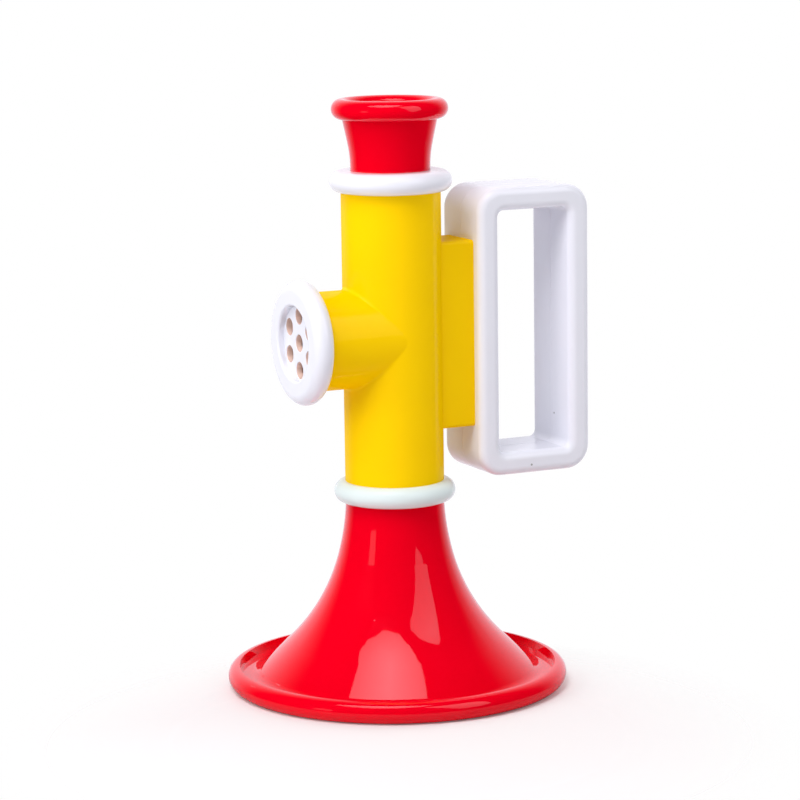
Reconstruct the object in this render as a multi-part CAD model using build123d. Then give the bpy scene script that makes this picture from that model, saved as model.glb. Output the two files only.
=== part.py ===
from build123d import *
from math import asin, cos, degrees, radians, sin, sqrt
import os

# Toy trumpet that stands on its bell. Millimetres, +Z up along the tube's axis, the floor at z = 0.
# The handle is on the +X side, the perforated port on the -X side, and the handle's loop opens along Y.

# Main sizes
tube_od = 32.0
tube_wall = 3.15
tube_length = 93.4
ring_od = 39.3
ring_height = 6.8
spigot_wall = 2.4
spigot_length = 15.0
fit_gap = 0.05
cut_overrun = 1.0

# Bell
bell_height = 60.8
bell_wall = 2.4
bell_neck_od = 31.9
bell_rim_od = 110.4
bell_bead_radius = 3.55
bell_bead_width = 3.75
bell_step_slope = 0.8
bell_ledge_width = 4.83
bell_ledge_height = 4.6
bell_toe_round = 4.0
bell_throat_drop = 5.0
flare_start_angle = 2.5
flare_middle_angle = 15.4
flare_end_angle = 45.7
flare_lower_arc_share = 0.76

# Mouthpiece
mouth_rim_od = 37.4
mouth_bead_radius = 3.27
mouth_height = 22.8
mouth_neck_straight = 0.8
mouth_neck_arc = 38.5
mouth_neck_angle = 11.9
mouth_spigot_length = 17.8
mouth_cup_floor_radius = 9.9
mouth_cup_round = 3.0
mouth_floor_rise = 1.7
mouth_floor_thickness = 2.4
mouth_throat_bore = 9.0

# Side port and its perforated cap
port_reach = 28.4
port_height = 46.8
port_od = 31.7
tee_round = 1.2
cap_od = 39.9
cap_bead_radius = 3.35
cap_dish_radius = 12.0
cap_dish_depth = 2.3
cap_crest_round = 0.8
cap_plate_thickness = 2.0
cap_spigot_length = 6.0
cap_hole_diameter = 5.5
cap_hole_circle = 17.5
cap_hole_count = 6
cap_hole_bevel = 0.15

# Web between the tube and the handle
web_height = 60.6
web_thickness = 18.6
web_round = 1.2
tenon_height = 44.0
tenon_thickness = 12.0
head_height = 52.0
head_width = 20.0
head_thickness = 2.6

# Handle, a hollow loop in two halves that meet at mid depth
handle_reach = 24.7
handle_width = 40.2
handle_top_rise = 0.2
handle_depth = 27.3
handle_bar = 7.35
handle_wall = 1.9
handle_corner = 8.0
handle_window_corner = 2.2
handle_edge_round = 2.5
handle_seam_bevel = 0.15
handle_lip_height = 1.4
handle_lip_thickness = 0.8
handle_gap = 0.15

# Reed unit inside the tube
reed_flange_thickness = 2.8
reed_stop_width = 1.6
reed_stop_height = 2.4
reed_collar_height = 8.0
reed_barrel_od = 20.0
reed_barrel_length = 29.2
reed_duct_diameter = 13.2
reed_seat_depth = 4.4
reed_seat_wall = 1.8
reed_lip = 1.0
reed_lip_thickness = 1.35
reed_channel_head = 2.2
plate_width = 13.0
plate_thickness = 1.0
plate_gap = 0.05
blade_width = 3.6
blade_length = 17.0
blade_thickness = 0.25
blade_side_gap = 0.2
blade_root_gap = 0.1
root_width = 4.8
root_height = 4.6
root_top_margin = 1.5
rivet_radius = 0.8
rivet_head_radius = 1.5
rivet_head_height = 0.5
rivet_gap = 0.03
window_side_margin = 0.9
window_end_margin = 0.8
reed_cap_thickness = 2.0
reed_cap_plug_height = 2.5

# Sizes and heights that follow from the ones above
tube_radius = tube_od / 2
bore_radius = tube_radius - tube_wall
spigot_radius = bore_radius - fit_gap
spigot_bore = spigot_radius - spigot_wall
tube_bottom = bell_height + ring_height
tube_top = tube_bottom + tube_length
mouth_base = tube_top + ring_height
port_z = tube_bottom + port_height
branch_radius = port_od / 2
flare_foot_radius = bell_rim_od / 2 - bell_bead_width - bell_step_slope - bell_ledge_width
handle_left = handle_reach
handle_right = handle_reach + handle_width
handle_middle = (handle_left + handle_right) / 2
handle_height = tube_length + handle_top_rise
handle_middle_z = tube_bottom + handle_height / 2
mouth_spigot_end = mouth_base - mouth_spigot_length
reed_stop_top = mouth_spigot_end - reed_flange_thickness
reed_barrel_bottom = reed_stop_top - reed_barrel_length
reed_barrel_radius = reed_barrel_od / 2
reed_duct_radius = reed_duct_diameter / 2
reed_channel_top = reed_stop_top - reed_channel_head
plate_top = reed_channel_top - plate_gap
plate_bottom = reed_barrel_bottom + plate_gap
plate_inner_face = -reed_seat_depth
plate_outer_face = plate_inner_face - plate_thickness
reed_flat = plate_outer_face - plate_gap - reed_lip_thickness
root_top = plate_top - root_top_margin
root_bottom = root_top - root_height
blade_top = root_bottom - blade_root_gap
blade_bottom = blade_top - blade_length
rivet_z = (root_top + root_bottom) / 2


def lathe(outline):
    # Turns a closed outline of (radius, height) about the tube's axis
    return revolve(Plane.XZ * make_face(outline), axis=Axis.Z)


def drum(radius, bottom, top):
    # A solid cylinder on the tube's axis between two heights
    return Pos(0, 0, bottom) * Cylinder(radius, top - bottom, align=(Align.CENTER, Align.CENTER, Align.MIN))


def block(low, high):
    # A box from its lowest corner to its highest
    size = [b - a for a, b in zip(low, high)]
    middle = [(a + b) / 2 for a, b in zip(low, high)]
    return Pos(*middle) * Box(*size)


def on_circle(centre, radius, angle):
    # The point of a circle at an angle in degrees
    return (centre[0] + radius * cos(radians(angle)), centre[1] + radius * sin(radians(angle)))


def flare_arcs():
    # Two tangent arcs and a straight run carry the flare from the bell's neck to the ledge inside its rim
    start = radians(flare_start_angle)
    middle = radians(flare_middle_angle)
    end = radians(flare_end_angle)
    reach = flare_foot_radius - bell_neck_od / 2
    fall = bell_height - bell_ledge_height
    reach_share = cos(start) - cos(middle) + flare_lower_arc_share * (cos(middle) - cos(end))
    fall_share = sin(middle) - sin(start) + flare_lower_arc_share * (sin(end) - sin(middle))
    upper = (reach * cos(end) - fall * sin(end)) / (reach_share * cos(end) - fall_share * sin(end))
    lower = upper * flare_lower_arc_share
    upper_centre = (bell_neck_od / 2 + upper * cos(start), bell_height + upper * sin(start))
    lower_centre = on_circle(upper_centre, upper - lower, 180 + flare_middle_angle)
    return upper, upper_centre, lower, lower_centre


def make_bell():
    upper, upper_centre, lower, lower_centre = flare_arcs()
    rim_radius = bell_rim_od / 2
    bead_centre = (rim_radius - bell_bead_radius, bell_bead_radius)
    crest_radius = rim_radius - bell_bead_width
    ledge_radius = crest_radius - bell_step_slope
    middle = 180 + flare_middle_angle
    end = 180 + flare_end_angle
    # The inner skin starts lower than the outer one, so that the shoulder under the ring stays thick
    inner = upper + bell_wall
    inner_start_z = bell_height - bell_throat_drop
    inner_start = 180 + degrees(asin((upper_centre[1] - inner_start_z) / inner))
    inner_neck = on_circle(upper_centre, inner, inner_start)
    inner_end = on_circle(lower_centre, lower + bell_wall, end)
    outer_end = on_circle(lower_centre, lower, end)
    mouth_radius = inner_end[0] + inner_end[1] * sin(radians(flare_end_angle)) / cos(radians(flare_end_angle))
    cone_top = inner_start_z + inner_neck[0] - spigot_bore
    bead_top = sqrt(bell_bead_radius**2 - (bead_centre[0] - crest_radius) ** 2)
    crest_angle = 180 - degrees(asin(bead_top / bell_bead_radius))
    spigot_top = bell_height + spigot_length
    outline = Line((mouth_radius, 0), (bead_centre[0], 0))
    outline += CenterArc(bead_centre, bell_bead_radius, -90, crest_angle + 90)
    outline += Polyline(
        (crest_radius, bead_centre[1] + bead_top),
        (ledge_radius, bell_ledge_height),
        (flare_foot_radius, bell_ledge_height),
        outer_end,
    )
    outline += CenterArc(lower_centre, lower, middle, flare_end_angle - flare_middle_angle)
    outline += CenterArc(upper_centre, upper, 180 + flare_start_angle, flare_middle_angle - flare_start_angle)
    outline += Polyline(
        (bell_neck_od / 2, bell_height),
        (spigot_radius, bell_height),
        (spigot_radius, spigot_top),
        (spigot_bore, spigot_top),
        (spigot_bore, cone_top),
        inner_neck,
    )
    outline += CenterArc(upper_centre, inner, inner_start, middle - inner_start)
    outline += CenterArc(lower_centre, lower + bell_wall, middle, flare_end_angle - flare_middle_angle)
    outline += Line(inner_end, (mouth_radius, 0))
    bell = lathe(outline)
    foot = [e for e in bell.edges() if abs(e.center().Z - bell_ledge_height) < fit_gap]
    foot = [e for e in foot if abs(e.radius - flare_foot_radius) < fit_gap]
    return fillet(foot, bell_toe_round)


def make_ring(bottom):
    # A washer whose outer edge is a full half round
    half = ring_height / 2
    flat_radius = ring_od / 2 - half
    outline = Polyline(
        (flat_radius, bottom + ring_height),
        (bore_radius, bottom + ring_height),
        (bore_radius, bottom),
        (flat_radius, bottom),
    )
    outline += CenterArc((flat_radius, bottom + half), half, -90, 180)
    return lathe(outline)


def make_mouthpiece():
    arc_start = mouth_base + mouth_neck_straight
    arc_centre = (spigot_radius + mouth_neck_arc, arc_start)
    arc_end = on_circle(arc_centre, mouth_neck_arc, 180 - mouth_neck_angle)
    bead_centre = (mouth_rim_od / 2 - mouth_bead_radius, mouth_base + mouth_height - mouth_bead_radius)
    lean = sin(radians(mouth_neck_angle)) / cos(radians(mouth_neck_angle))
    neck_top_radius = arc_end[0] + (bead_centre[1] - arc_end[1]) * lean
    outline = Line((0, mouth_spigot_end), (spigot_radius, mouth_spigot_end))
    outline += Line((spigot_radius, mouth_spigot_end), (spigot_radius, arc_start))
    outline += CenterArc(arc_centre, mouth_neck_arc, 180 - mouth_neck_angle, mouth_neck_angle)
    outline += Line(arc_end, (neck_top_radius, bead_centre[1]))
    outline += Polyline((neck_top_radius, bead_centre[1]), (0, bead_centre[1]), (0, mouth_spigot_end))
    bead = Pos(0, 0, bead_centre[1]) * Torus(bead_centre[0], mouth_bead_radius)
    floor_z = mouth_base + mouth_floor_rise
    cup_top = (bead_centre[0] - mouth_bead_radius, bead_centre[1])
    cup = FilletPolyline((0, floor_z), (mouth_cup_floor_radius, floor_z), cup_top, radius=mouth_cup_round)
    cup += Polyline(
        cup_top,
        (cup_top[0], cup_top[1] + mouth_bead_radius + cut_overrun),
        (0, cup_top[1] + mouth_bead_radius + cut_overrun),
        (0, floor_z),
    )
    under_floor = drum(spigot_bore, mouth_spigot_end - cut_overrun, floor_z - mouth_floor_thickness)
    throat = drum(mouth_throat_bore / 2, mouth_spigot_end, floor_z + cut_overrun)
    return lathe(outline) + bead - lathe(cup) - under_floor - throat


def port_place():
    # The port's own axes: local Z points out of the port, away from the tube
    return Pos(-port_reach, 0, port_z) * Rot(0, -90, 0)


def make_grille():
    half = cap_bead_radius
    flat_radius = cap_od / 2 - half
    top = 2 * half
    face_height = top - cap_dish_depth
    crest_centre = (cap_dish_radius + cap_crest_round, top - cap_crest_round)
    outline = Polyline((0, face_height), (cap_dish_radius, face_height), (cap_dish_radius, crest_centre[1]))
    outline += CenterArc(crest_centre, cap_crest_round, 90, 90)
    outline += Line((crest_centre[0], top), (flat_radius, top))
    outline += CenterArc((flat_radius, half), half, -90, 180)
    outline += Polyline(
        (flat_radius, 0),
        (spigot_radius, 0),
        (spigot_radius, -cap_spigot_length),
        (spigot_bore, -cap_spigot_length),
        (spigot_bore, face_height - cap_plate_thickness),
        (0, face_height - cap_plate_thickness),
        (0, face_height),
    )
    cap = lathe(outline)
    hole = drum(cap_hole_diameter / 2, 0, face_height + cut_overrun)
    places = [Pos(0, 0, 0)]
    places += PolarLocations(cap_hole_circle / 2, cap_hole_count)
    for place in places:
        cap -= place * hole
    rims = [e for e in cap.edges() if e.geom_type == GeomType.CIRCLE]
    rims = [e for e in rims if abs(e.radius - cap_hole_diameter / 2) < fit_gap]
    rims = [e for e in rims if abs(e.center().Z - face_height) < fit_gap]
    cap = chamfer(rims, cap_hole_bevel)
    return port_place() * cap


def web_box(reach, thickness, height, start):
    # A block on the +X side, centred on the port's height, from one reach to another
    return block((start, -thickness / 2, port_z - height / 2), (reach, thickness / 2, port_z + height / 2))


def make_body():
    tube = drum(tube_radius, tube_bottom, tube_top)
    branch = port_place() * Cylinder(branch_radius, port_reach, align=(Align.CENTER, Align.CENTER, Align.MAX))
    web = web_box(handle_left, web_thickness, web_height, 0)
    web_edges = web.edges().filter_by(Axis.X)
    web = fillet(web_edges, web_round)
    body = tube + branch
    tee = [e for e in body.edges() if e.geom_type not in (GeomType.CIRCLE, GeomType.LINE)]
    body = fillet(tee, tee_round)
    body += web
    body += web_box(handle_left + handle_wall + handle_gap, tenon_thickness, tenon_height, tube_radius)
    head_start = handle_left + handle_wall + handle_gap
    body += web_box(head_start + head_thickness, head_width, head_height, head_start)
    stop_bottom = reed_stop_top - reed_stop_height
    body -= drum(bore_radius, tube_bottom - cut_overrun, stop_bottom)
    body -= drum(bore_radius - reed_stop_width, stop_bottom - cut_overrun, reed_stop_top + cut_overrun)
    body -= drum(bore_radius, reed_stop_top, tube_top + cut_overrun)
    branch_bore = Cylinder(bore_radius, port_reach, align=(Align.CENTER, Align.CENTER, Align.MAX))
    body -= port_place() * branch_bore
    return body


def loop_frame(inset, depth):
    # The handle's loop seen from the front, drawn in by an inset and raised from mid depth towards -Y
    plan = RectangleRounded(handle_width - 2 * inset, handle_height - 2 * inset, handle_corner - inset)
    window_width = handle_width - 2 * handle_bar + 2 * inset
    window_height = handle_height - 2 * handle_bar + 2 * inset
    plan -= RectangleRounded(window_width, window_height, handle_window_corner + inset)
    return Pos(handle_middle, 0, handle_middle_z) * (Plane.XZ * extrude(plan, amount=depth))


def wall_band(inset, thickness, depth):
    # A band along both side walls of the loop, an inset in from their faces
    return loop_frame(inset, depth) - loop_frame(inset + thickness, depth)


def make_handle_half(side):
    # side is -1 for the front half, which carries the lip, and +1 for the rear half
    half_depth = handle_depth / 2
    shell = loop_frame(0, half_depth)
    front = shell.faces().sort_by(Axis.Y)[0]
    shell = fillet(front.edges(), handle_edge_round)
    seam = shell.faces().sort_by(Axis.Y)[-1]
    shell = chamfer(seam.edges(), handle_seam_bevel)
    shell -= loop_frame(handle_wall, half_depth - handle_wall)
    lip_inset = handle_wall - handle_lip_thickness
    if side < 0:
        lip = wall_band(lip_inset, handle_lip_thickness, handle_lip_height)
        shell += Pos(0, handle_lip_height, 0) * lip
    else:
        rebate = wall_band(lip_inset - fit_gap, handle_lip_thickness + fit_gap, handle_lip_height + handle_gap)
        shell -= rebate
        shell = mirror(shell, about=Plane.XZ)
    slot_height = tenon_height + 2 * handle_gap
    slot_end = handle_left + handle_wall + handle_gap
    shell -= web_box(slot_end, tenon_thickness + 2 * handle_gap, slot_height, handle_left - cut_overrun)
    return shell


def make_reed_holder():
    collar_top = mouth_spigot_end + reed_collar_height
    holder = drum(spigot_bore - fit_gap, mouth_spigot_end, collar_top)
    holder += drum(spigot_radius, reed_stop_top, mouth_spigot_end)
    holder += drum(reed_barrel_radius, reed_barrel_bottom, reed_stop_top)
    holder -= reed_duct(reed_duct_radius, reed_barrel_bottom - cut_overrun, collar_top + cut_overrun, 0)
    outside = -reed_barrel_radius - cut_overrun
    bottom = reed_barrel_bottom - cut_overrun
    holder -= block(
        (-reed_barrel_radius, outside, bottom),
        (reed_barrel_radius, reed_flat, reed_channel_top),
    )
    channel = plate_width / 2 + plate_gap
    holder -= block(
        (-channel, plate_outer_face - plate_gap, bottom),
        (channel, plate_inner_face, reed_channel_top),
    )
    mouth = plate_width / 2 - reed_lip
    holder -= block((-mouth, outside, bottom), (mouth, plate_inner_face, reed_channel_top))
    window = root_width / 2 + window_side_margin
    holder -= block(
        (-window, plate_inner_face - cut_overrun, blade_bottom - window_end_margin),
        (window, 0, root_top + window_end_margin),
    )
    return holder


def reed_duct(radius, bottom, top, gap):
    # The air duct's round section, cut flat beside the plate's seat
    flat = reed_seat_wall - reed_seat_depth + gap
    duct = drum(radius, bottom, top)
    return duct - block((-radius, -radius, bottom), (radius, flat, top))


def make_reed_plate():
    plate = block(
        (-plate_width / 2, plate_outer_face, plate_bottom),
        (plate_width / 2, plate_inner_face, plate_top),
    )
    slot = blade_width / 2 + blade_side_gap
    plate -= block(
        (-slot, plate_outer_face - cut_overrun, blade_bottom - blade_side_gap),
        (slot, plate_inner_face + cut_overrun, root_bottom),
    )
    return plate - rivet_shaft(rivet_radius + rivet_gap, cut_overrun)


def rivet_shaft(radius, overrun):
    # The rivet's straight shank through the plate and the reed's root
    low = plate_outer_face - overrun
    high = plate_inner_face + blade_thickness + overrun
    shank = Cylinder(radius, high - low, rotation=(90, 0, 0))
    return Pos(0, (low + high) / 2, rivet_z) * shank


def make_reed_root():
    root = block(
        (-root_width / 2, plate_inner_face, root_bottom),
        (root_width / 2, plate_inner_face + blade_thickness, root_top),
    )
    return root - rivet_shaft(rivet_radius + rivet_gap, cut_overrun)


def make_reed_blade():
    return block(
        (-blade_width / 2, plate_inner_face, blade_bottom),
        (blade_width / 2, plate_inner_face + blade_thickness, blade_top),
    )


def make_reed_rivet():
    rivet = rivet_shaft(rivet_radius, 0)
    head = Cylinder(rivet_head_radius, rivet_head_height, rotation=(90, 0, 0))
    outer = plate_outer_face - rivet_head_height / 2
    inner = plate_inner_face + blade_thickness + rivet_head_height / 2
    rivet += Pos(0, outer, rivet_z) * head
    rivet += Pos(0, inner, rivet_z) * head
    return rivet


def make_reed_end_cap():
    top = reed_barrel_bottom
    cap = drum(reed_barrel_radius, top - reed_cap_thickness, top)
    cap -= block(
        (-reed_barrel_radius, -reed_barrel_radius - cut_overrun, top - reed_cap_thickness),
        (reed_barrel_radius, reed_flat, top),
    )
    return cap + reed_duct(reed_duct_radius - fit_gap, top, top + reed_cap_plug_height, fit_gap)


pieces = {
    "bell": make_bell(),
    "bottom_ring": make_ring(bell_height),
    "body": make_body(),
    "top_ring": make_ring(tube_top),
    "mouthpiece": make_mouthpiece(),
    "grille": make_grille(),
    "handle_front_half": make_handle_half(-1),
    "handle_rear_half": make_handle_half(1),
    "reed_holder": make_reed_holder(),
    "reed_plate": make_reed_plate(),
    "reed_root": make_reed_root(),
    "reed_blade": make_reed_blade(),
    "reed_rivet": make_reed_rivet(),
    "reed_end_cap": make_reed_end_cap(),
}

os.makedirs("parts", exist_ok=True)
for name, shape in pieces.items():
    export_step(shape, f"parts/{name}.step")
    print(name, len(shape.solids()), round(shape.volume, 1))
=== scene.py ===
import math

import bpy
import bmesh
from mathutils import Matrix, Vector

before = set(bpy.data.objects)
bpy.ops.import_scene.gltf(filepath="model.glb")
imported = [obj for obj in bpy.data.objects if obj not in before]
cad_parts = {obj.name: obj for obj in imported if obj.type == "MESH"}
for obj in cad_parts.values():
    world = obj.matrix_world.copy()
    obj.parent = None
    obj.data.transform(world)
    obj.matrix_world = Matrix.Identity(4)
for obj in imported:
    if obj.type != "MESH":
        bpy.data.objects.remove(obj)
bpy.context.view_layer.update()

mm = 0.001               # lengths are in metres, apart from those that are multiplied by this

print("stage 1: camera")

camera = {
    "place": Vector((-417.95, -889.32, 257.54)) * mm,    # where the photograph was taken from
    "aim": Vector((1.85, -0.92, 93.4)) * mm,             # the point at the middle of the picture
    "roll": -0.80,                                       # degrees; the toy leans a little to the left
    "lens": 139.0,                                       # millimetres on a sensor 36 mm wide
    "sensor": 36.0,
    "clip": (0.05, 50.0),
}


def addToScene(name, data):
    item = bpy.data.objects.new(name, data)
    bpy.context.scene.collection.objects.link(item)
    return item


def lookingAt(place, aim, roll=0.0):
    look = (aim - place).to_track_quat("-Z", "Y").to_matrix().to_4x4()
    return Matrix.Translation(place) @ look @ Matrix.Rotation(math.radians(roll), 4, "Z")


def makeCamera():
    data = bpy.data.cameras.new("camera")
    data.lens = camera["lens"]
    data.sensor_width = camera["sensor"]
    data.clip_start, data.clip_end = camera["clip"]
    eye = addToScene("camera", data)
    eye.matrix_world = lookingAt(camera["place"], camera["aim"], camera["roll"])
    bpy.context.scene.camera = eye


makeCamera()

print("stage 2: shared shader groups")


def plug(tree, source, socket):
    # A socket is linked, and a plain value is set
    if isinstance(source, bpy.types.NodeSocket):
        tree.links.new(source, socket)
    else:
        socket.default_value = source


def addNode(tree, kind, sources=None, **settings):
    node = tree.nodes.new(kind)
    for key, value in settings.items():
        setattr(node, key, value)
    for key, source in (sources or {}).items():
        plug(tree, source, node.inputs[key])
    return node


def addMath(tree, operation, *sources):
    return addNode(tree, "ShaderNodeMath", dict(enumerate(sources)), operation=operation).outputs[0]


def addVectorMath(tree, operation, *sources):
    return addNode(tree, "ShaderNodeVectorMath", dict(enumerate(sources)), operation=operation)


def distanceFrom(tree, place, point):
    return addVectorMath(tree, "DISTANCE", place, point).outputs["Value"]


def mixColors(tree, factor, first, second):
    sources = {"Factor": factor, "A": first, "B": second}
    return addNode(tree, "ShaderNodeMix", sources, data_type="RGBA").outputs["Result"]


def mixShaders(tree, factor, first, second):
    return addNode(tree, "ShaderNodeMixShader", {"Fac": factor, 1: first, 2: second}).outputs[0]


def mapRange(tree, value, fromRange, toRange=(0.0, 1.0), curve="LINEAR"):
    sources = {
        "Value": value, "From Min": fromRange[0], "From Max": fromRange[1],
        "To Min": toRange[0], "To Max": toRange[1],
    }
    return addNode(tree, "ShaderNodeMapRange", sources, interpolation_type=curve).outputs["Result"]


def objectPlace(tree):
    return addNode(tree, "ShaderNodeTexCoord").outputs["Object"]


def newGroup(name, inputs, outputs):
    group = bpy.data.node_groups.new(name, "ShaderNodeTree")
    for label, kind, value in inputs:
        socket = group.interface.new_socket(name=label, in_out="INPUT", socket_type=kind)
        socket.default_value = value
    for label, kind in outputs:
        group.interface.new_socket(name=label, in_out="OUTPUT", socket_type=kind)
    start = addNode(group, "NodeGroupInput").outputs
    end = addNode(group, "NodeGroupOutput").inputs
    return group, start, end


skin = {
    "waveScale": 60.0,
    "waveDetail": 1.5,
    "waveRoughness": 0.4,
    "grainScale": 2500.0,
    "grainDetail": 1.0,
    "grainHeightShare": 0.06,       # of the wave's height
    "roughSpread": 0.02,
    "color": (0.8, 0.8, 0.8, 1),
    "shade": (0.7, 0.7, 0.7, 1),
}


def makeSkinGroup():
    # Soft waviness of a moulded face, a very fine grain, and a faint drift of tone
    group, start, end = newGroup(
        "mouldedSkin",
        [
            ("Wave Scale", "NodeSocketFloat", skin["waveScale"]),
            ("Grain Scale", "NodeSocketFloat", skin["grainScale"]),
            ("Rough Spread", "NodeSocketFloat", skin["roughSpread"]),
            ("Color", "NodeSocketColor", skin["color"]),
            ("Shade Color", "NodeSocketColor", skin["shade"]),
        ],
        [("Color", "NodeSocketColor"), ("Height", "NodeSocketFloat"), ("Rough Shift", "NodeSocketFloat")],
    )
    place = objectPlace(group)
    wave = addNode(group, "ShaderNodeTexNoise", {
        "Vector": place, "Scale": start["Wave Scale"],
        "Detail": skin["waveDetail"], "Roughness": skin["waveRoughness"],
    }).outputs["Fac"]
    grain = addNode(group, "ShaderNodeTexNoise", {
        "Vector": place, "Scale": start["Grain Scale"], "Detail": skin["grainDetail"],
    }).outputs["Fac"]
    grainHeight = addMath(group, "MULTIPLY", grain, skin["grainHeightShare"])
    plug(group, addMath(group, "ADD", wave, grainHeight), end["Height"])
    plug(group, mixColors(group, wave, start["Color"], start["Shade Color"]), end["Color"])
    plug(group, addMath(group, "MULTIPLY", grain, start["Rough Spread"]), end["Rough Shift"])
    return group


specks = {
    "scale": 180.0,     # cells in a metre
    "size": 0.05,       # of a cell
    "share": 0.9,       # of the cells, the ones that stay clean
}


def makeSpeckGroup():
    # Sparse specks of dust and pin marks, as pale or dark points on the plastic
    group, start, end = newGroup(
        "dustSpecks",
        [
            ("Scale", "NodeSocketFloat", specks["scale"]),
            ("Size", "NodeSocketFloat", specks["size"]),
            ("Share", "NodeSocketFloat", specks["share"]),
        ],
        [("Mask", "NodeSocketFloat")],
    )
    cells = addNode(group, "ShaderNodeTexVoronoi", {"Vector": objectPlace(group), "Scale": start["Scale"]})
    near = addMath(group, "LESS_THAN", cells.outputs["Distance"], start["Size"])
    pick = addNode(group, "ShaderNodeSeparateColor", {"Color": cells.outputs["Color"]})
    chosen = addMath(group, "GREATER_THAN", pick.outputs["Red"], start["Share"])
    plug(group, addMath(group, "MULTIPLY", near, chosen), end["Mask"])
    return group


mouldedSkin = makeSkinGroup()
dustSpecks = makeSpeckGroup()

print("stage 3: materials")


def linear(rgb):
    # The colour of a screen value, each part from 0 to 255
    parts = [c / 255 for c in rgb]
    return tuple(p / 12.92 if p <= 0.04045 else ((p + 0.055) / 1.055) ** 2.4 for p in parts) + (1.0,)


def newMaterial(name):
    material = bpy.data.materials.new(name)
    material.use_nodes = True
    tree = material.node_tree
    tree.nodes.clear()
    return material, tree, addNode(tree, "ShaderNodeOutputMaterial").inputs["Surface"]


# painted light: the holes' walls get a warm colour in place of the light bounced inside the horn
paintedHoleLight = {
    "axis": (0.0, 0.0, 0.1144),          # a point on the port's axis, which runs along X
    "reach": 0.0116,                     # the sound holes lie inside this radius
    "wallTilt": 0.5,                     # a hole's wall has less than this of the axis in its normal
    "color": (242, 212, 200),            # painted light: warm bounce light from the yellow and red inside, painted on the holes' walls
}


def addPaintedHoleLight(tree, color):
    # Painted bounce light: a warm colour painted on the walls of the cap's sound holes only, for the light
    # from the yellow and red inside
    place = addNode(tree, "ShaderNodeTexCoord")
    across = addVectorMath(tree, "MULTIPLY", place.outputs["Object"], (0, 1, 1)).outputs["Vector"]
    away = distanceFrom(tree, across, paintedHoleLight["axis"])
    inside = addMath(tree, "LESS_THAN", away, paintedHoleLight["reach"])
    normal = addNode(tree, "ShaderNodeSeparateXYZ", {"Vector": place.outputs["Normal"]})
    tilt = addMath(tree, "ABSOLUTE", normal.outputs["X"])
    wall = addMath(tree, "LESS_THAN", tilt, paintedHoleLight["wallTilt"])
    mask = addMath(tree, "MULTIPLY", inside, wall)
    return mixColors(tree, mask, color, linear(paintedHoleLight["color"]))


pits = {
    "places": [(0.04294, -0.01365, 0.07045), (0.0575, -0.0020, 0.0846)],
    "radius": 0.00035,
    "color": (150, 150, 155),
}


def addPits(tree, color):
    # The two small grey pits in the handle
    place = objectPlace(tree)
    for spot in pits["places"]:
        away = distanceFrom(tree, place, spot)
        mask = addMath(tree, "LESS_THAN", away, pits["radius"])
        color = mixColors(tree, mask, color, linear(pits["color"]))
    return color


plastics = {
    "red": {
        "color": (230, 0, 28), "shade": (226, 0, 25), "speck": (250, 90, 100),
        "roughness": 0.035, "ior": 1.5, "wave": 45.0, "waveDepth": 0.00005, "dust": 0.90, "edgeFade": 0.0,
    },
    "yellow": {
        "color": (248, 203, 0), "shade": (246, 199, 0), "speck": (215, 172, 0),
        "roughness": 0.12, "ior": 1.22, "wave": 70.0, "waveDepth": 0.00003, "dust": 0.98, "edgeFade": 0.85,
    },
    "white": {
        "color": (229, 229, 239), "shade": (227, 227, 238), "speck": (176, 174, 180),
        "roughness": 0.08, "ior": 1.52, "wave": 70.0, "waveDepth": 0.00003, "dust": 0.995, "edgeFade": 0.0,
    },
    "paleMint": {
        "color": (217, 228, 230), "shade": (215, 227, 228), "speck": (180, 200, 190),
        "roughness": 0.12, "ior": 1.45, "wave": 70.0, "waveDepth": 0.00004, "dust": 0.98, "edgeFade": 0.0,
    },
    "naturalPlastic": {
        "color": (228, 224, 210), "shade": (220, 216, 200), "speck": (190, 186, 170),
        "roughness": 0.4, "ior": 1.47, "wave": 90.0, "waveDepth": 0.00003, "dust": 0.98, "edgeFade": 0.0,
    },
}
moulding = {
    "roughSpreadShare": 0.3,        # how far the roughness drifts, as a share of itself
    "bump": 0.35,
    "edge": (0.45, 0.80),           # how far a face turns away before and when its gloss has faded
}


def makePlastic(name, look, detail=None):
    material, tree, surface = newMaterial(name)
    face = addNode(tree, "ShaderNodeGroup", node_tree=mouldedSkin)
    face.inputs["Wave Scale"].default_value = look["wave"]
    face.inputs["Rough Spread"].default_value = look["roughness"] * moulding["roughSpreadShare"]
    face.inputs["Color"].default_value = linear(look["color"])
    face.inputs["Shade Color"].default_value = linear(look["shade"])
    dust = addNode(tree, "ShaderNodeGroup", node_tree=dustSpecks)
    dust.inputs["Share"].default_value = look["dust"]
    color = mixColors(tree, dust.outputs["Mask"], face.outputs["Color"], linear(look["speck"]))
    if detail:
        color = detail(tree, color)
    bump = addNode(tree, "ShaderNodeBump", {
        "Strength": moulding["bump"], "Distance": look["waveDepth"], "Height": face.outputs["Height"],
    })
    gloss = addNode(tree, "ShaderNodeBsdfPrincipled", {
        "Base Color": color,
        "Roughness": addMath(tree, "ADD", look["roughness"], face.outputs["Rough Shift"]),
        "IOR": look["ior"],
        "Normal": bump.outputs["Normal"],
    })
    # at the very edge the yellow keeps its own colour instead of mirroring the white room
    matt = addNode(tree, "ShaderNodeBsdfDiffuse", {"Color": color})
    turned = addNode(tree, "ShaderNodeLayerWeight").outputs["Facing"]
    fade = mapRange(tree, turned, moulding["edge"], (0.0, look["edgeFade"]))
    plug(tree, mixShaders(tree, fade, gloss.outputs["BSDF"], matt.outputs[0]), surface)
    return material


brass = {
    "dark": (190, 145, 70),
    "light": (224, 186, 108),
    "rolling": (4000, 4000, 60),    # lines of the rolled strip, long along Z
    "roughness": 0.28,
}


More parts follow.
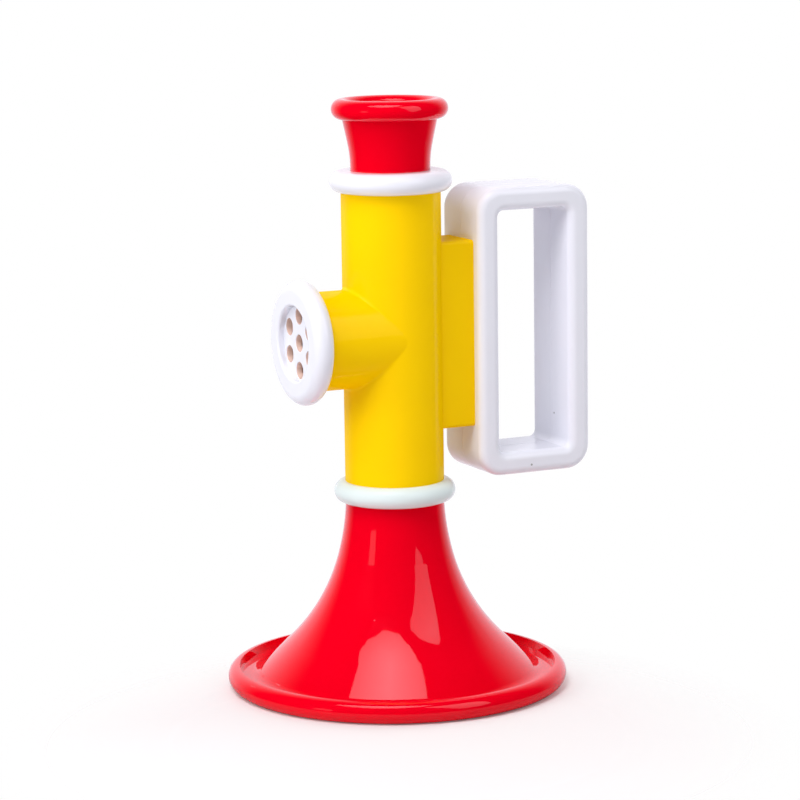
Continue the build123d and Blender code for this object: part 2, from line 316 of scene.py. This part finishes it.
def makeBrass():
    material, tree, surface = newMaterial("reedBrass")
    stretch = addNode(tree, "ShaderNodeMapping", {"Vector": objectPlace(tree), "Scale": brass["rolling"]})
    lines = addNode(tree, "ShaderNodeTexNoise", {"Vector": stretch.outputs["Vector"], "Scale": 1.0})
    ramp = addNode(tree, "ShaderNodeValToRGB", {"Fac": lines.outputs["Fac"]})
    for element, tone in zip(ramp.color_ramp.elements, ("dark", "light")):
        element.color = linear(brass[tone])
    metal = addNode(tree, "ShaderNodeBsdfPrincipled", {
        "Base Color": ramp.outputs["Color"], "Metallic": 1.0, "Roughness": brass["roughness"],
    })
    plug(tree, metal.outputs["BSDF"], surface)
    return material


materials = {name: makePlastic(name, look) for name, look in plastics.items()}
# the cap's white carries the painted bounce light on its holes' walls
materials["capWhite"] = makePlastic("capWhite", plastics["white"], addPaintedHoleLight)
materials["handleWhite"] = makePlastic("handleWhite", plastics["white"], addPits)
materials["reedBrass"] = makeBrass()

finishes = {
    "bell": "red",
    "bottom_ring": "paleMint",
    "body": "yellow",
    "top_ring": "white",
    "mouthpiece": "red",
    "grille": "capWhite",
    "handle_front_half": "handleWhite",
    "handle_rear_half": "handleWhite",
    "reed_holder": "naturalPlastic",
    "reed_plate": "reedBrass",
    "reed_root": "reedBrass",
    "reed_blade": "reedBrass",
    "reed_rivet": "reedBrass",
    "reed_end_cap": "naturalPlastic",
}

for node, finish in finishes.items():
    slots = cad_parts[node].data.materials
    slots.clear()
    slots.append(materials[finish])

print("stage 4: studio")

studio = {
    "behind": (0.427, 0.904, 0.0),      # the level direction from the camera past the toy
    "glossTint": (0.93, 0.92, 1, 1),    # what gloss mirrors is a little blue
    "white": (1, 1, 1, 1),
}

room = {
    "front": 0.38,                  # the light of the room in front of the toy
    "back": 1.00,                   # the light of the white backdrop behind it
    "turn": (-0.2, 0.8),            # the one becomes the other between these cosines to the backdrop
    "bounce": 0.95,                 # the light that comes up from the white floor
    "horizon": (-0.05, 0.05),       # the floor gives way to the walls between these heights
    "glossTurn": (0.30, 0.97),      # gloss sees the room go from dark to white between these cosines
    "glossGain": 1.06,
}


def makeWorld():
    world = bpy.data.worlds.new("studio")
    bpy.context.scene.world = world
    world.use_nodes = True
    tree = world.node_tree
    tree.nodes.clear()
    out = addNode(tree, "ShaderNodeOutputWorld")
    rays = addNode(tree, "ShaderNodeLightPath").outputs
    way = addNode(tree, "ShaderNodeTexCoord").outputs["Generated"]
    behind = addVectorMath(tree, "DOT_PRODUCT", way, studio["behind"]).outputs["Value"]
    height = addNode(tree, "ShaderNodeSeparateXYZ", {"Vector": way}).outputs["Z"]
    walls = mapRange(tree, behind, room["turn"], (room["front"], room["back"]))
    strength = mapRange(tree, height, room["horizon"], (room["bounce"], walls))
    glossStrength = mapRange(tree, behind, room["glossTurn"], (0.0, room["glossGain"]), "SMOOTHSTEP")
    diffuse = addNode(tree, "ShaderNodeBackground", {"Color": studio["white"], "Strength": strength})
    gloss = addNode(tree, "ShaderNodeBackground", {"Color": studio["glossTint"], "Strength": glossStrength})
    white = addNode(tree, "ShaderNodeBackground", {"Color": studio["white"]})
    around = mixShaders(tree, rays["Is Glossy Ray"], diffuse.outputs[0], gloss.outputs[0])
    seen = addMath(tree, "MAXIMUM", rays["Is Camera Ray"], rays["Is Transmission Ray"])
    plug(tree, mixShaders(tree, seen, around, white.outputs[0]), out.inputs["Surface"])


floorPaper = {
    "size": 3.0,
    "segments": 64,
    "color": (0.73, 0.71, 0.725, 1),
    "liftColor": (1, 0.96, 0.98, 1),        # a little light of its own keeps the shadow pale
    "lift": 0.08,
    "shadeMiddle": (-0.028, -0.060, 0.0),   # the middle of the shading, a little in front of the toy
    "shadeFade": (0.070, 0.125),            # it fades out to plain white between these radii
    "glossFade": (0.02, 0.45),              # gloss sees the floor turn white so far behind the toy
    "near": (0.065, 0.110),                 # close to the toy, gloss sees the lit paper too
    "nearShare": 0.60,                      # and this share of the plain white
}


def makeFloor():
    mesh = bmesh.new()
    segments, radius = floorPaper["segments"], floorPaper["size"] / 2
    bmesh.ops.create_circle(mesh, cap_ends=True, segments=segments, radius=radius)
    data = bpy.data.meshes.new("floor")
    mesh.to_mesh(data)
    mesh.free()
    floor = addToScene("floor", data)
    material, tree, surface = newMaterial("floorPaper")
    place = objectPlace(tree)
    rays = addNode(tree, "ShaderNodeLightPath").outputs
    paper = addNode(tree, "ShaderNodeBsdfDiffuse", {"Color": floorPaper["color"]})
    lift = addNode(tree, "ShaderNodeEmission", {
        "Color": floorPaper["liftColor"], "Strength": floorPaper["lift"],
    })
    lit = addNode(tree, "ShaderNodeAddShader", {0: paper.outputs[0], 1: lift.outputs[0]})
    # what gloss sees of the floor: dark in front of the toy, white behind it
    behind = addVectorMath(tree, "DOT_PRODUCT", place, studio["behind"]).outputs["Value"]
    whiteness = mapRange(tree, behind, floorPaper["glossFade"], curve="SMOOTHSTEP")
    glow = addNode(tree, "ShaderNodeEmission", {"Strength": whiteness})
    away = addVectorMath(tree, "LENGTH", place).outputs["Value"]
    nearness = mapRange(tree, away, floorPaper["near"], (floorPaper["nearShare"], 1.0), "SMOOTHSTEP")
    glossy = addMath(tree, "MULTIPLY", rays["Is Glossy Ray"], nearness)
    seen = mixShaders(tree, glossy, lit.outputs[0], glow.outputs[0])
    # from below the floor isn't there, so that the inside of the bell shows
    outward = distanceFrom(tree, place, floorPaper["shadeMiddle"])
    fade = mapRange(tree, outward, floorPaper["shadeFade"])
    backfacing = addNode(tree, "ShaderNodeNewGeometry").outputs["Backfacing"]
    hidden = addMath(tree, "MAXIMUM", fade, backfacing)
    gone = addNode(tree, "ShaderNodeBsdfTransparent")
    plug(tree, mixShaders(tree, hidden, seen, gone.outputs[0]), surface)
    data.materials.append(material)


# area lamps give the diffuse light; they don't show in gloss
lampAim = (0, 0, 0.08)
lamps = {
    "overhead": {"place": (-0.45, -0.37, 1.00), "size": (0.50, 0.50), "power": 7.7},
    "left": {"place": (-1.05, -0.19, 0.50), "size": (0.50, 0.60), "power": 4.6},
    "right": {"place": (1.10, 0.05, 0.40), "size": (0.50, 0.80), "power": 3.0},
    "rightFront": {"place": (1.00, -0.62, 0.10), "size": (0.40, 0.16), "power": 0.6},
}


def makeLamps():
    for name, lamp in lamps.items():
        data = bpy.data.lights.new(name, "AREA")
        data.shape = "RECTANGLE"
        data.size, data.size_y = lamp["size"]
        data.energy = lamp["power"]
        light = addToScene(name, data)
        light.visible_glossy = False
        light.matrix_world = lookingAt(Vector(lamp["place"]), Vector(lampAim))


# panels show only in gloss; places in millimetres, and the outlines follow the highlights on the bell
ceilingHeight = 1300
frontDepth = -1000
panels = {
    "ceilingBox": {
        "corners": [
            (x, y, ceilingHeight) for x, y in (
                (-696, -624), (-480, -720), (-302, -768), (-6, -638), (121, -479), (212, -406),
                (110, -330), (-130, -220), (-420, 0), (-585, 100), (-760, 20), (-845, -200),
            )
        ],
        "hot": (-244, -258, ceilingHeight), "reach": 0.62, "bright": 4.2, "dim": 1.7,
    },
    "frontBox": {
        "corners": [
            (x, frontDepth, z) for x, z in (
                (-20, 1400), (360, 1703), (659, 1871), (1031, 2097), (1108, 1908), (949, 935), (824, 421),
                (574, 277), (330, 209), (250, 296), (191, 500), (105, 836), (35, 963), (-32, 1162),
            )
        ],
        "hot": (700, frontDepth, 1500), "reach": 1.5, "bright": 2.0, "dim": 0.9,
    },
}

# two small panels, for the low window on the flare and the streak on the neck, as seen from the toy
glints = {
    "windowLow": {"azimuth": (-82, -69), "height": (0.0, 12.0), "bright": 0.8},
    "streak": {"azimuth": (-163, -159), "height": (25.0, 29.0), "bright": 1.8},
}
glintReach = 1500
glintLevel = 100


def seenAt(azimuth, height):
    # Azimuth 0 is towards -Y and grows towards +X, and both are in degrees
    around, up = math.radians(azimuth), math.radians(height)
    level = glintReach * math.cos(up)
    return (level * math.sin(around), -level * math.cos(around), glintLevel + glintReach * math.sin(up))


for name, glint in glints.items():
    (left, right), (low, high) = glint["azimuth"], glint["height"]
    panels[name] = {
        "corners": [seenAt(left, low), seenAt(right, low), seenAt(right, high), seenAt(left, high)],
        "hot": seenAt((left + right) / 2, (low + high) / 2), "reach": 1.0,
        "bright": glint["bright"], "dim": glint["bright"],
    }


def makePanels():
    for name, panel in panels.items():
        mesh = bmesh.new()
        mesh.faces.new([mesh.verts.new(Vector(corner) * mm) for corner in panel["corners"]])
        data = bpy.data.meshes.new(name)
        mesh.to_mesh(data)
        mesh.free()
        sheet = addToScene(name, data)
        sheet.visible_camera = False
        sheet.visible_diffuse = False
        sheet.visible_shadow = False
        material, tree, surface = newMaterial(name)
        away = distanceFrom(tree, objectPlace(tree), Vector(panel["hot"]) * mm)
        strength = mapRange(tree, away, (0.0, panel["reach"]), (panel["bright"], panel["dim"]))
        glow = addNode(tree, "ShaderNodeEmission", {"Color": studio["glossTint"], "Strength": strength})
        plug(tree, glow.outputs[0], surface)
        data.materials.append(material)


makeWorld()
makeFloor()
makeLamps()
makePanels()

bpy.context.scene.view_settings.view_transform = "Standard"
